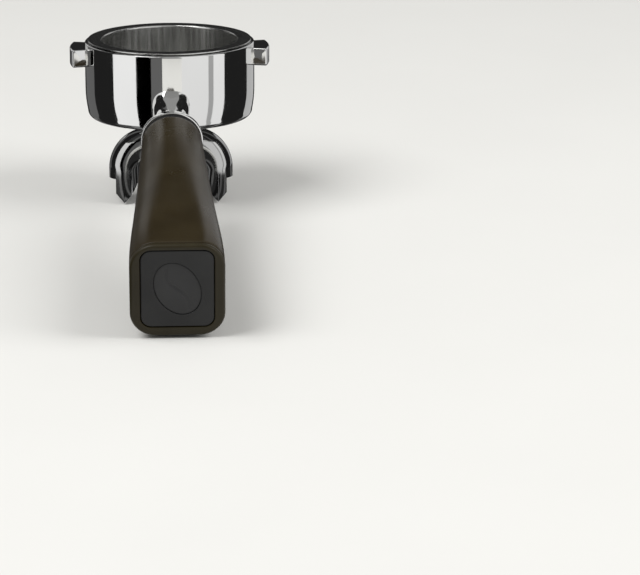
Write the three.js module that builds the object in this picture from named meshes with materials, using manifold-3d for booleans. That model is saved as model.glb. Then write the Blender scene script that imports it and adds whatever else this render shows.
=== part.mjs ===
// Espresso portafilter for a 58 mm group: chromed bowl and arm, basket, twin spout and handle.
// Millimetres, +Z up. The origin is on the bowl's axis, in the plane of the basket's flange,
// which is the face that seals against the group. The handle runs towards -Y.
import * as THREE from 'three';
import { mergeVertices } from 'three/addons/utils/BufferGeometryUtils.js';
import Module from 'manifold-3d';

const wasm = await Module();
wasm.setup();

// ---- driving dimensions -------------------------------------------------

const GAP = 0.3;                 // gap left between touching pieces
const EDGE = 0.8;                // broken edge on castings
const FINE_EDGE = 0.5;           // broken edge on small pieces
const OVERRUN = 1;               // how far a cutting solid runs past the face it cuts
const TURN_STEPS = 48;           // facets round the bowl and the basket
const MEDIUM_STEPS = 32;         // facets round the ferrule and the nipple
const SMALL_STEPS = 24;          // facets round small turned pieces
const ARM_STEPS = 20;            // facets round the arm and the spout's branches

// bowl
const BOWL_RADIUS = 36.3;
const BOWL_BORE = 30.6;
const RIM_Z = -0.9;
const BOWL_BARREL = [[35.8, -28.8], [36.15, -26], [BOWL_RADIUS, -20]];  // [radius, z], drawn in
const BOWL_BOTTOM_Z = -33.4;
const BOWL_FOOT_RADIUS = 32.6;   // flat underside
const BOWL_CORNER = 2.7;
const BOWL_FLOOR_Z = -27.6;
const FLOOR_DISH = 1.2;          // how far the floor falls towards its middle
const FLOOR_CORNER = 2.6;
const GROOVE_RADIUS = 32.7;
const GROOVE_Z = -7.4;
const GROOVE_HEIGHT = 2.4;
const BOSS_RADIUS = 11.5;
const BOSS_Z = -35;
const BOSS_ROOT_RADIUS = 13.1;     // flares past the gasket, so the flat ring outside it is clear
const BOSS_ROOT_HEIGHT = 0.8;
const THREAD_RADIUS = 8.33;      // G3/8 pipe thread, half its major diameter
const THREAD_CLEARANCE = 0.15;

// bayonet lugs
const LUG_RADIUS = 42.75;
const LUG_HALF_ANGLE = 14;
const LUG_TOP_Z = -3;
const LUG_THICKNESS = 7.6;
const LUG_BEVEL = 0.8;
const LUG_ROOT = 3;              // how far the lug starts inside the bowl's wall

// arm between the bowl and the ferrule
const ARM_ROOT_Y = -28;
const ARM_ROOT_Z = -22;
const ARM_BEND_Z = -23.5;
const ARM_STRAIGHT = 5.7;        // the last stretch, in line with the handle
const ARM_FULLNESS = 0.6;        // how much squarer than an ellipse the arm is at the bowl

// Half width and half height of the arm at fractions of its length.
const ARM_PROFILE = [
  [0, 9.5, 9.2], [0.2, 6.8, 8.6], [0.36, 5.9, 8], [0.52, 5.7, 7.8],
  [0.68, 6, 8], [0.82, 7.1, 8.6], [0.92, 8.8, 9.4], [1, 10.6, 10.6],
];

// filter basket
const BASKET_RADIUS = 29.9;
const BASKET_WALL = 0.7;
const BASKET_DEPTH = 24.2;
const BASKET_CORNER = 3.2;
const FLANGE_RADIUS = 35;
const FLANGE_THICKNESS = 0.6;

// retaining wire
const WIRE_RADIUS = 0.75;
const WIRE_RING_RADIUS = 31.75;
const WIRE_WAVE = 0.8;
const WIRE_WAVES = 3;
const WIRE_MOUTH = 26;           // degrees left open between the wire's ends

// twin spout
const GASKET_THICKNESS = 1.5;
const GASKET_RADIUS = 12.4;
const NIPPLE_TOP_Z = -29;
const NIPPLE_BORE = 5.2;
const HUB_RADIUS = 12.4;
const SPOUT_TUBE_RADIUS = 6.75;
const SPOUT_WALL = 1.4;
const SPOUT_BEND_X = 8.96;
const SPOUT_BEND_Z = -56.7;
const SPOUT_BEND_RADIUS = 10.98;
const SPOUT_CUT_Z = -60.6;       // lower edge of the outer wall
const SPOUT_CHEEK_X = 23.9;      // outer edge of the front and back walls
const SPOUT_CHEEK_Z = -66.9;
const SPOUT_LIP_X = 20.3;
const SPOUT_LIP_Z = -70.9;
const SPOUT_BEND_STEPS = 7;
const SPOUT_SLAB = 40;           // deeper than the spout is from front to back
const LEG_OVERLAP = 2;           // how far each leg runs past the middle, into the other
const LEG_OUTSIDE = 8;           // clear of the leg's outer wall
const LEG_TOP = 6;               // height of the outline over the bend's centre
const LEG_INNER_SHIFT = 2;
const LIP_CURVE = [[4.2, 2.6], [0.6, 7]];  // handles of the inner edge, from the lip up
const LIP_CURVE_END = [-0.2, 4];
const CHANNEL_OVER = 4;          // the channel is cut this much longer than the leg
const NIPPLE_FOOT_IN = 0.4;
const NIPPLE_WAIST_OUT = 0.8;
const NIPPLE_WAIST_RISE = 4.4;
const HUB_TAPER = [0.8, 3.2];    // in from the hub's edge, down from its top
const HUB_BAND = 2.2;

// handle, measured along its own axis from the grip's near end
const HANDLE_SLOPE = 13.2;       // degrees below level
const HANDLE_Y = -56;
const HANDLE_Z = -33.2;
const HANDLE_LENGTH = 129;
const GRIP_NEAR_RADIUS = 12.4;
const GRIP_FAR_CORNER = 10;
const SLEEVE_WALL = 2.6;
const RING_DEPTH = 2.4;
const RING_TENON = 2.4;
const RING_SHOULDER = 0.9;
const RING_CREASE = 0.3;
const CAP_LEDGE = 2.2;           // width of the ledge that the cap lies on
const FERRULE_BACK = -6.2;
const FERRULE_FRONT = -1.6;
const FERRULE_BAND = -4;         // where the ferrule's cone turns into its straight band
const FERRULE_RADIUS = 12.9;
const FERRULE_BACK_RADIUS = 11.2;
const GRIP_START = 0.2;
const SEAL_RECESS = 0.7;         // how far the seal's edges stand below the grip's surface
const TENON_RADIUS = 8;
const TENON_FLAT = 6.6;          // half the distance across the tenon's flats
const TENON_END = 30;
const TENON_CLEARANCE = 0.5;
const TENON_ROOT = 2;            // how far the tenon starts inside the arm
const TAPPING_SPARE = 3;         // thread below the bolt's tip
const COLLAR_END = 3;            // the tenon is fully round up to here
const BOLT_RADIUS = 4;
const BOLT_CLEARANCE = 0.5;
const BOLT_TIP = 12;
const BOLT_SEAT = 99.5;
const BOLT_HEAD_RADIUS = 6.5;
const BOLT_HEAD_LENGTH = 8;
const BOLT_KEY_RADIUS = 3.46;     // corner radius of the 6 mm hexagon socket
const BOLT_KEY_DEPTH = 4;
const HEAD_POCKET_RADIUS = 8.6;
const WASHER_RADIUS = 8;
const WASHER_THICKNESS = 1.6;
const SPRING_RADIUS = 7.4;
const SPRING_THICKNESS = 2.1;
const SPRING_SPLIT = 0.9;
const SPRING_SPLIT_ANGLE = 20;
const CAP_HALF_WIDTH = 14.0;
const CAP_HALF_HEIGHT = 16.3;
const CAP_CORNER = 4;
const CAP_LIFT = 0.8;            // the cap sits this far above the grip's axis
const CAP_THICKNESS = 1.7;
const BEAN_HALF_WIDTH = 8.4;
const BEAN_HALF_HEIGHT = 11.4;
const BEAN_TILT = 24;
const BEAN_DEPTH = 0.5;
const CREASE_HALF_WIDTH = 0.7;
const CREASE_SWAY = 2;
const CREASE_BOW = 0.8;          // share of a half wave on each side of the middle
const CREASE_STEPS = 10;
const PEG_RADIUS = 1.5;
const PEG_OFFSET = 12.2;
const PEG_REACH = 2;             // how far the cap's pegs reach into the core
const PEG_STEPS = 12;

// Half widths of the grip along its length, as fractions of the length.
const GRIP_PROFILE = [
  [0, 12.4], [0.08, 12.9], [0.2, 13.75], [0.38, 14.85], [0.53, 15.8],
  [0.68, 16.8], [0.82, 17.75], [0.94, 18.3], [1, 18.35],
];
const GRIP_EXTRA_HEIGHT = 1.4;   // how much taller than wide the far half is, each way
const GRIP_ROUND_TO = 0.04;      // the outline starts to grow square here and
const GRIP_SQUARE_FROM = 0.96;   // is fully square here
const GRIP_STEPS = 9;
const CORNER_STEPS = 5;

// ---- materials ----------------------------------------------------------

function metal(colour, roughness) {
  return new THREE.MeshStandardMaterial({ color: colour, roughness, metalness: 1 });
}

function plastic(colour, roughness) {
  return new THREE.MeshStandardMaterial({ color: colour, roughness, metalness: 0 });
}

// ---- solids -------------------------------------------------------------

// Merges shared points, drops empty triangles and turns every face outwards.
function closedMesh(source) {
  const bare = source.clone();
  for (const name of Object.keys(bare.attributes)) {
    if (name !== 'position') bare.deleteAttribute(name);
  }
  const merged = mergeVertices(bare, 1e-4);
  const position = merged.getAttribute('position');
  const corner = [new THREE.Vector3(), new THREE.Vector3(), new THREE.Vector3()];
  const index = [];
  let volume = 0;
  for (let i = 0; i < merged.index.count; i += 3) {
    const ids = [0, 1, 2].map((k) => merged.index.getX(i + k));
    if (ids[0] === ids[1] || ids[1] === ids[2] || ids[2] === ids[0]) continue;
    ids.forEach((id, k) => corner[k].fromBufferAttribute(position, id));
    volume += corner[0].dot(corner[1].clone().cross(corner[2]));
    index.push(...ids);
  }
  if (volume < 0) {
    for (let i = 0; i < index.length; i += 3) {
      [index[i + 1], index[i + 2]] = [index[i + 2], index[i + 1]];
    }
  }
  const geometry = new THREE.BufferGeometry();
  geometry.setAttribute('position', position.clone());
  geometry.setIndex(index);
  return geometry;
}

function toSolid(geometry) {
  const closed = closedMesh(geometry);
  return new wasm.Manifold(new wasm.Mesh({
    numProp: 3,
    vertProperties: new Float32Array(closed.getAttribute('position').array),
    triVerts: new Uint32Array(closed.index.array),
  }));
}

function toGeometry(solid) {
  const mesh = solid.getMesh();
  const geometry = new THREE.BufferGeometry();
  geometry.setAttribute('position', new THREE.BufferAttribute(mesh.vertProperties, 3));
  geometry.setIndex(new THREE.BufferAttribute(mesh.triVerts, 1));
  return geometry;
}

// A turned solid about Z from [radius, height] pairs.
function turned(profile, steps = TURN_STEPS) {
  const points = profile.map(([r, z]) => new THREE.Vector2(r, z));
  return new THREE.LatheGeometry(points, steps).rotateX(Math.PI / 2);
}

// A turned ring: the profile closes on itself.
function turnedRing(profile, steps = TURN_STEPS) {
  return turned([...profile, profile[0]], steps);
}

function cylinder(radius, low, high, steps = SMALL_STEPS) {
  return turned([[0, low], [radius, low], [radius, high], [0, high]], steps);
}

// Points on a quarter-like arc in the profile plane, in degrees.
function arc(centreR, centreZ, radius, from, to, steps) {
  return Array.from({ length: steps + 1 }, (_, i) => {
    const angle = THREE.MathUtils.degToRad(from + (to - from) * i / steps);
    return [centreR + radius * Math.cos(angle), centreZ + radius * Math.sin(angle)];
  });
}

// Skins a stack of rings that have equal point counts and closes both ends.
function loft(rings) {
  const count = rings[0].length;
  const points = rings.flat();
  const index = [];
  for (let ring = 0; ring < rings.length - 1; ring++) {
    for (let i = 0; i < count; i++) {
      const a = ring * count + i;
      const b = ring * count + (i + 1) % count;
      index.push(a, b, a + count, b, b + count, a + count);
    }
  }
  const last = (rings.length - 1) * count;
  const nearCentre = points.length;
  points.push(middleOf(rings[0]));
  points.push(middleOf(rings[rings.length - 1]));
  for (let i = 0; i < count; i++) {
    const next = (i + 1) % count;
    index.push(nearCentre, next, i);
    index.push(nearCentre + 1, last + i, last + next);
  }
  const geometry = new THREE.BufferGeometry().setFromPoints(points);
  geometry.setIndex(index);
  return geometry;
}

function middleOf(ring) {
  const sum = ring.reduce((total, point) => total.add(point), new THREE.Vector3());
  return sum.divideScalar(ring.length);
}

// A rounded rectangle as points, going round from +X towards +Y.
function roundedOutline(halfWidth, halfHeight, corner, stepsPerCorner) {
  const signs = [[1, 1], [-1, 1], [-1, -1], [1, -1]];
  const outline = [];
  signs.forEach(([sx, sy], quarter) => {
    for (let i = 0; i <= stepsPerCorner; i++) {
      const angle = (quarter + i / stepsPerCorner) * Math.PI / 2;
      const x = sx * (halfWidth - corner) + corner * Math.cos(angle);
      const y = sy * (halfHeight - corner) + corner * Math.sin(angle);
      outline.push(new THREE.Vector2(x, y));
    }
  });
  return outline;
}

function plate(outline, low, high) {
  const shape = new THREE.Shape(outline);
  const options = { depth: high - low, bevelEnabled: false, curveSegments: 1 };
  return new THREE.ExtrudeGeometry(shape, options).translate(0, 0, low);
}

// ---- handle frame: +Z along the handle away from the bowl, +Y its upper side ----

const handleFrame = new THREE.Group();
handleFrame.position.set(0, HANDLE_Y, HANDLE_Z);
handleFrame.rotation.x = Math.PI / 2 + THREE.MathUtils.degToRad(HANDLE_SLOPE);
handleFrame.updateMatrixWorld();

// ---- bowl, lugs and arm: one casting -------------------------------------

function lugSolid(centreAngle) {
  const half = THREE.MathUtils.degToRad(LUG_HALF_ANGLE);
  const inner = BOWL_RADIUS - LUG_ROOT;
  const outer = LUG_RADIUS - LUG_BEVEL;
  const shape = new THREE.Shape();
  shape.moveTo(inner * Math.cos(half), -inner * Math.sin(half));
  shape.lineTo(outer * Math.cos(half), -outer * Math.sin(half));
  shape.absarc(0, 0, outer, -half, half, false);
  shape.lineTo(inner * Math.cos(half), inner * Math.sin(half));
  shape.closePath();
  const lug = new THREE.ExtrudeGeometry(shape, {
    depth: LUG_THICKNESS - 2 * LUG_BEVEL,
    bevelThickness: LUG_BEVEL,
    bevelSize: LUG_BEVEL,
    bevelSegments: 2,
    curveSegments: 8,
  });
  lug.translate(0, 0, LUG_TOP_Z - LUG_THICKNESS + LUG_BEVEL).rotateZ(centreAngle);
  return toSolid(lug);
}

// The arm leaves the bowl already sloping, bends a little more and widens behind the ferrule.
function armSolid() {
  const slope = THREE.MathUtils.degToRad(HANDLE_SLOPE);
  const alongHandle = (s) => new THREE.Vector3(
    0,
    HANDLE_Y - s * Math.cos(slope),
    HANDLE_Z - s * Math.sin(slope),
  );
  const end = FERRULE_BACK - GAP;
  const path = new THREE.CubicBezierCurve3(
    new THREE.Vector3(0, ARM_ROOT_Y, ARM_ROOT_Z),
    new THREE.Vector3(0, -BOWL_RADIUS, ARM_BEND_Z),
    alongHandle(end - ARM_STRAIGHT),
    alongHandle(end),
  );
  const rings = ARM_PROFILE.map(([place, halfWidth, halfHeight]) => {
    const centre = path.getPoint(place);
    const forward = path.getTangent(place);
    const side = new THREE.Vector3(1, 0, 0);
    const up = new THREE.Vector3().crossVectors(side, forward).negate();
    const power = 2 / (2 + ARM_FULLNESS * (1 - place * place));
    const full = (value) => Math.sign(value) * Math.abs(value) ** power;
    return Array.from({ length: ARM_STEPS }, (_, i) => {
      const angle = i / ARM_STEPS * 2 * Math.PI;
      return centre.clone()
        .addScaledVector(side, halfWidth * full(Math.cos(angle)))
        .addScaledVector(up, halfHeight * full(Math.sin(angle)));
    });
  });
  return toSolid(loft(rings));
}

// The keyed tenon inside the grip, with two flats and a tapped hole for the bolt.
function tenonSolid() {
  let keyed = toSolid(cylinder(TENON_RADIUS, FERRULE_BACK - TENON_ROOT, TENON_END));
  for (const side of [-1, 1]) {
    const slab = new THREE.BoxGeometry(4 * TENON_RADIUS, TENON_RADIUS, TENON_END);
    slab.translate(0, side * (TENON_FLAT + TENON_RADIUS / 2), COLLAR_END + TENON_END / 2);
    keyed = keyed.subtract(toSolid(slab));
  }
  const tapping = cylinder(BOLT_RADIUS + GAP, BOLT_TIP - TAPPING_SPARE, TENON_END + OVERRUN);
  keyed = keyed.subtract(toSolid(tapping));
  return toSolid(toGeometry(keyed).applyMatrix4(handleFrame.matrixWorld));
}

function filterHolder() {
  const outside = toSolid(turned([
    [0, BOSS_Z],
    [BOSS_RADIUS - FINE_EDGE, BOSS_Z],
    [BOSS_RADIUS, BOSS_Z + FINE_EDGE],
    [BOSS_RADIUS, BOWL_BOTTOM_Z - BOSS_ROOT_HEIGHT],
    [BOSS_ROOT_RADIUS, BOWL_BOTTOM_Z],
    ...arc(BOWL_FOOT_RADIUS, BOWL_BOTTOM_Z + BOWL_CORNER, BOWL_CORNER, -90, -10, 5),
    ...BOWL_BARREL,
    [BOWL_RADIUS, RIM_Z - EDGE],
    [BOWL_RADIUS - EDGE, RIM_Z],
    [0, RIM_Z],
  ]));
  const grooveLow = GROOVE_Z - GROOVE_HEIGHT / 2;
  const grooveHigh = GROOVE_Z + GROOVE_HEIGHT / 2;
  const inside = toSolid(turned([
    [0, BOWL_FLOOR_Z - FLOOR_DISH],
    [THREAD_RADIUS, BOWL_FLOOR_Z - FLOOR_DISH],
    [BOWL_BORE - FLOOR_CORNER - EDGE, BOWL_FLOOR_Z],
    ...arc(BOWL_BORE - FLOOR_CORNER, BOWL_FLOOR_Z + FLOOR_CORNER, FLOOR_CORNER, -60, 0, 3),
    [BOWL_BORE, grooveLow],
    [GROOVE_RADIUS, grooveLow],
    [GROOVE_RADIUS, grooveHigh],
    [BOWL_BORE, grooveHigh],
    [BOWL_BORE, RIM_Z - FINE_EDGE],
    [BOWL_BORE + FINE_EDGE, RIM_Z],
    [BOWL_BORE + FINE_EDGE, RIM_Z + OVERRUN],
    [0, RIM_Z + OVERRUN],
  ]));
  const tapping = toSolid(
    cylinder(THREAD_RADIUS + THREAD_CLEARANCE, BOSS_Z - OVERRUN, BOWL_FLOOR_Z, MEDIUM_STEPS),
  );
  return outside
    .add(lugSolid(0))
    .add(lugSolid(Math.PI))
    .add(armSolid())
    .add(tenonSolid())
    .subtract(inside)
    .subtract(tapping);
}

// ---- basket and its wire ---------------------------------------------------

// Pressed steel cup: the outline goes down the outside and back up the inside.
function filterBasket() {
  const cornerR = BASKET_RADIUS - BASKET_CORNER;
  const cornerZ = -BASKET_DEPTH + BASKET_CORNER;
  const under = -FLANGE_THICKNESS;
  return turned([
    [0, -BASKET_DEPTH],
    ...arc(cornerR, cornerZ, BASKET_CORNER, -90, 0, 4),
    [BASKET_RADIUS, under - FINE_EDGE],
    [BASKET_RADIUS + FINE_EDGE, under],
    [FLANGE_RADIUS - FLANGE_THICKNESS / 2, under],
    [FLANGE_RADIUS, under / 2],
    [FLANGE_RADIUS - FLANGE_THICKNESS / 2, 0],
    [BASKET_RADIUS, 0],
    [BASKET_RADIUS - BASKET_WALL, -BASKET_WALL],
    ...arc(cornerR, cornerZ, BASKET_CORNER - BASKET_WALL, 0, -90, 4),
    [0, -BASKET_DEPTH + BASKET_WALL],
  ]);
}

class WireRing extends THREE.Curve {
  getPoint(t, target = new THREE.Vector3()) {
    const open = THREE.MathUtils.degToRad(WIRE_MOUTH);
    const angle = Math.PI / 2 + open / 2 + t * (2 * Math.PI - open);
    const wave = (1 - Math.cos(2 * Math.PI * WIRE_WAVES * t)) / 2;
    const radius = WIRE_RING_RADIUS - WIRE_WAVE * wave;
    return target.set(radius * Math.cos(angle), radius * Math.sin(angle), 0);
  }
}

function basketClip() {
  const section = new THREE.Shape().absarc(0, 0, WIRE_RADIUS, 0, 2 * Math.PI, false);
  const options = { steps: 48, curveSegments: 3, bevelEnabled: false };
  return new THREE.ExtrudeGeometry(section, { ...options, extrudePath: new WireRing() });
}

// ---- twin spout --------------------------------------------------------------

const gasketTop = BOSS_Z - GAP;
const gasketBottom = gasketTop - GASKET_THICKNESS;
const hubTop = gasketBottom - GAP;

function spoutGasket() {
  return turnedRing([
    [THREAD_RADIUS + GAP, gasketBottom],
    [GASKET_RADIUS, gasketBottom],
    [GASKET_RADIUS, gasketTop],
    [THREAD_RADIUS + GAP, gasketTop],
  ], SMALL_STEPS);
}

// One branch: level from the hub, round a quarter bend and straight down.
function spoutBranch(side, radius, bottom) {
  const bendTop = SPOUT_BEND_Z + SPOUT_BEND_RADIUS;
  const centres = [[0, bendTop, 0]];
  for (let i = 0; i <= SPOUT_BEND_STEPS; i++) {
    const turn = i / SPOUT_BEND_STEPS * Math.PI / 2;
    centres.push([
      SPOUT_BEND_X + SPOUT_BEND_RADIUS * Math.sin(turn),
      SPOUT_BEND_Z + SPOUT_BEND_RADIUS * Math.cos(turn),
      turn,
    ]);
  }
  centres.push([SPOUT_BEND_X + SPOUT_BEND_RADIUS, bottom, Math.PI / 2]);
  const rings = centres.map(([x, z, turn]) => {
    const across = new THREE.Vector3(side * Math.sin(turn), 0, Math.cos(turn));
    return Array.from({ length: ARM_STEPS }, (_, i) => {
      const angle = i / ARM_STEPS * 2 * Math.PI;
      return new THREE.Vector3(side * x, radius * Math.sin(angle), z)
        .addScaledVector(across, radius * Math.cos(angle));
    });
  });
  return toSolid(loft(rings));
}

// What is kept of one leg, seen from the front: square-cut outer wall, then two cheeks
// that run down to a pointed lip, with a floor that curves outwards under them.
function legOutline(side, inset, over) {
  const innerX = SPOUT_BEND_X + SPOUT_BEND_RADIUS - SPOUT_TUBE_RADIUS;
  const cheek = SPOUT_CHEEK_X + over;
  const shape = new THREE.Shape();
  shape.moveTo(-side * LEG_OVERLAP, 0);
  shape.lineTo(side * (SPOUT_CHEEK_X + LEG_OUTSIDE), 0);
  shape.lineTo(side * (SPOUT_CHEEK_X + LEG_OUTSIDE), SPOUT_CUT_Z - over);
  shape.lineTo(side * cheek, SPOUT_CUT_Z - over);
  shape.lineTo(side * cheek, SPOUT_CHEEK_Z - over);
  shape.lineTo(side * (SPOUT_LIP_X + inset), SPOUT_LIP_Z + inset - over);
  shape.bezierCurveTo(
    side * (innerX + LIP_CURVE[0][0] + inset), SPOUT_LIP_Z + LIP_CURVE[0][1] + inset,
    side * (innerX + LIP_CURVE[1][0] + inset), SPOUT_LIP_Z + LIP_CURVE[1][1] + inset,
    side * (innerX + LIP_CURVE_END[0] + inset), SPOUT_CUT_Z + LIP_CURVE_END[1],
  );
  shape.lineTo(side * (innerX - LEG_INNER_SHIFT + inset), SPOUT_BEND_Z + LEG_TOP);
  shape.lineTo(-side * LEG_OVERLAP, SPOUT_BEND_Z + LEG_TOP);
  shape.closePath();
  const slab = new THREE.ExtrudeGeometry(shape, {
    depth: SPOUT_SLAB, bevelEnabled: false, curveSegments: 6,
  });
  return toSolid(slab.translate(0, 0, -SPOUT_SLAB / 2).rotateX(Math.PI / 2));
}

function doubleSpout() {
  const bendTop = SPOUT_BEND_Z + SPOUT_BEND_RADIUS;
  const nipple = toSolid(turned([
    [0, bendTop],
    [SPOUT_TUBE_RADIUS - NIPPLE_FOOT_IN, bendTop],
    [SPOUT_TUBE_RADIUS + NIPPLE_WAIST_OUT, bendTop + NIPPLE_WAIST_RISE],
    [HUB_RADIUS - HUB_TAPER[0], hubTop - HUB_TAPER[1]],
    [HUB_RADIUS, hubTop - HUB_BAND],
    [HUB_RADIUS, hubTop],
    [THREAD_RADIUS, hubTop],
    [THREAD_RADIUS, NIPPLE_TOP_Z - EDGE],
    [THREAD_RADIUS - EDGE, NIPPLE_TOP_Z],
    [0, NIPPLE_TOP_Z],
  ], MEDIUM_STEPS));
  const bore = toSolid(cylinder(NIPPLE_BORE, bendTop, NIPPLE_TOP_Z + OVERRUN, SMALL_STEPS));
  let solid = nipple;
  let hollow = bore;
  for (const side of [-1, 1]) {
    const leg = spoutBranch(side, SPOUT_TUBE_RADIUS, SPOUT_LIP_Z - 2 * OVERRUN);
    const channel = spoutBranch(side, SPOUT_TUBE_RADIUS - SPOUT_WALL, SPOUT_LIP_Z - 3 * OVERRUN);
    solid = solid.add(leg.intersect(legOutline(side, 0, 0)));
    hollow = hollow.add(channel.intersect(legOutline(side, SPOUT_WALL, CHANNEL_OVER)));
  }
  return solid.subtract(hollow);
}

// ---- handle --------------------------------------------------------------------

const gripHalfWidth = new THREE.CatmullRomCurve3(
  GRIP_PROFILE.map(([place, half]) => new THREE.Vector3(place * HANDLE_LENGTH, half, 0)),
);

// Outline of the grip at one place along it: round at the bowl, a rounded square far out.
function gripOutline(s, inset) {
  const place = THREE.MathUtils.clamp(s / HANDLE_LENGTH, 0, 1);
  let low = 0;
  let high = 1;
  for (let i = 0; i < 30; i++) {
    const middle = (low + high) / 2;
    if (gripHalfWidth.getPoint(middle).x < place * HANDLE_LENGTH) low = middle;
    else high = middle;
  }
  const halfWidth = gripHalfWidth.getPoint(low).y;
  const squareness = THREE.MathUtils.smoothstep(place, GRIP_ROUND_TO, GRIP_SQUARE_FROM);
  const halfHeight = halfWidth + GRIP_EXTRA_HEIGHT * squareness;
  const corner = THREE.MathUtils.lerp(halfWidth, GRIP_FAR_CORNER, squareness);
  return roundedOutline(halfWidth - inset, halfHeight - inset, corner - inset, CORNER_STEPS);
}

function gripLoft(from, to, inset, steps) {
  const rings = Array.from({ length: steps + 1 }, (_, i) => {
    const s = from + (to - from) * i / steps;
    return gripOutline(s, inset).map((point) => new THREE.Vector3(point.x, point.y, s));
  });
  return toSolid(loft(rings));
}

const sleeveEnd = HANDLE_LENGTH - RING_DEPTH - GAP;
const ringBack = HANDLE_LENGTH - RING_DEPTH - RING_TENON;
const coreEnd = ringBack - GAP;
const coreInset = SLEEVE_WALL + GAP;
const capBack = HANDLE_LENGTH - RING_DEPTH + 2 * GAP;
const capFront = capBack + CAP_THICKNESS;

function gripSleeve() {
  const outside = gripLoft(GRIP_START, sleeveEnd, 0, GRIP_STEPS);
  const inside = gripLoft(GRIP_START - OVERRUN, sleeveEnd + OVERRUN, SLEEVE_WALL, GRIP_STEPS);
  return outside.subtract(inside);
}

function gripCore() {
  const body = gripLoft(GRIP_START, coreEnd, coreInset, GRIP_STEPS);
  let slot = toSolid(cylinder(TENON_RADIUS + GAP, -OVERRUN, TENON_END + TENON_CLEARANCE));
  for (const side of [-1, 1]) {
    const land = new THREE.BoxGeometry(4 * TENON_RADIUS, TENON_RADIUS, 2 * TENON_END);
    land.translate(0, side * (TENON_FLAT + GAP + TENON_RADIUS / 2), COLLAR_END + GAP + TENON_END);
    slot = slot.subtract(toSolid(land));
  }
  const boltHole = toSolid(
    cylinder(BOLT_RADIUS + BOLT_CLEARANCE, TENON_END - OVERRUN, BOLT_SEAT + OVERRUN),
  );
  const pocket = toSolid(cylinder(HEAD_POCKET_RADIUS, BOLT_SEAT, coreEnd + OVERRUN));
  return body.subtract(slot).subtract(boltHole)
    .subtract(pocket).subtract(pegs(GAP, coreEnd - PEG_REACH - OVERRUN));
}

// The two pegs that locate the cap in the core.
function pegs(extra, from) {
  const peg = (y) => toSolid(
    cylinder(PEG_RADIUS + extra, from, capBack + OVERRUN, PEG_STEPS)
      .translate(0, y + CAP_LIFT, 0),
  );
  return peg(PEG_OFFSET).add(peg(-PEG_OFFSET));
}

function ferrule() {
  return turnedRing([
    [TENON_RADIUS + GAP, FERRULE_BACK],
    [FERRULE_BACK_RADIUS, FERRULE_BACK],
    [FERRULE_BACK_RADIUS + EDGE, FERRULE_BACK + EDGE],
    [FERRULE_RADIUS, FERRULE_BAND],
    [FERRULE_RADIUS, FERRULE_FRONT - FINE_EDGE],
    [FERRULE_RADIUS - FINE_EDGE, FERRULE_FRONT],
    [TENON_RADIUS + GAP, FERRULE_FRONT],
  ], MEDIUM_STEPS);
}

function ferruleSeal() {
  const back = FERRULE_FRONT + GAP;
  const front = GRIP_START - GAP;
  return turnedRing([
    [TENON_RADIUS + GAP, back],
    [GRIP_NEAR_RADIUS - SEAL_RECESS, back],
    [GRIP_NEAR_RADIUS - SEAL_RECESS / 2, (back + front) / 2],
    [GRIP_NEAR_RADIUS - SEAL_RECESS, front],
    [TENON_RADIUS + GAP, front],
  ], SMALL_STEPS);
}

function capOutline(extra) {
  const outline = roundedOutline(
    CAP_HALF_WIDTH + extra, CAP_HALF_HEIGHT + extra, CAP_CORNER + extra, CORNER_STEPS,
  );
  return outline.map((point) => new THREE.Vector2(point.x, point.y + CAP_LIFT));
}

function endRing() {
  const front = HANDLE_LENGTH;
  const back = HANDLE_LENGTH - RING_DEPTH;
  const rims = [
    [back, RING_CREASE],
    [back + RING_CREASE, 0],
    [front - RING_SHOULDER, 0],
    [front - RING_SHOULDER / 3, RING_SHOULDER / 3],
    [front, RING_SHOULDER],
  ];
  const rings = rims.map(([s, inset]) => (
    gripOutline(s, inset).map((point) => new THREE.Vector3(point.x, point.y, s))
  ));
  const face = toSolid(loft(rings));
  const tenon = gripLoft(ringBack, back + GAP / 2, coreInset, 1);
  const window = toSolid(plate(capOutline(GAP), back + GAP, front + OVERRUN));
  const opening = toSolid(plate(capOutline(-CAP_LEDGE), ringBack - OVERRUN, front));
  return face.add(tenon).subtract(window).subtract(opening);
}

// A tilted bean outline, shared by the inlay and the recess that holds it.
function beanOutline(extra) {
  const tilt = THREE.MathUtils.degToRad(BEAN_TILT);
  const bean = new THREE.EllipseCurve(
    0, CAP_LIFT, BEAN_HALF_WIDTH + extra, BEAN_HALF_HEIGHT + extra, 0, 2 * Math.PI, false, tilt,
  );
  return bean.getPoints(32).slice(0, -1);
}

function endCap() {
  const face = toSolid(plate(capOutline(0), capBack, capFront));
  const recess = toSolid(plate(beanOutline(GAP), capFront - BEAN_DEPTH - GAP, capFront + OVERRUN));
  return face.add(pegs(0, coreEnd - PEG_REACH)).subtract(recess);
}

// The bean inlay with the S-shaped crease of a bean along its middle.
function capEmblem() {
  const tilt = THREE.MathUtils.degToRad(BEAN_TILT);
  const low = capFront - BEAN_DEPTH;
  const bean = toSolid(plate(beanOutline(0), low, capFront));
  const reach = BEAN_HALF_HEIGHT - 3 * CREASE_HALF_WIDTH;
  const side = (offset) => Array.from({ length: CREASE_STEPS + 1 }, (_, i) => {
    const along = 2 * i / CREASE_STEPS - 1;
    const sway = -CREASE_SWAY * Math.sin(Math.PI * along * CREASE_BOW);
    return new THREE.Vector2(sway + offset, along * reach);
  });
  const rim = [...side(-CREASE_HALF_WIDTH), ...side(CREASE_HALF_WIDTH).reverse()];
  const groove = plate(rim, low + BEAN_DEPTH / 2, capFront + OVERRUN);
  groove.rotateZ(tilt).translate(0, CAP_LIFT, 0);
  return bean.subtract(toSolid(groove));
}

// ---- fasteners inside the handle --------------------------------------------------

const flatWasherTop = BOLT_SEAT + GAP + WASHER_THICKNESS;
const springWasherLow = flatWasherTop + GAP;
const springWasherTop = springWasherLow + SPRING_THICKNESS;
const headLow = springWasherTop + GAP;

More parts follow.
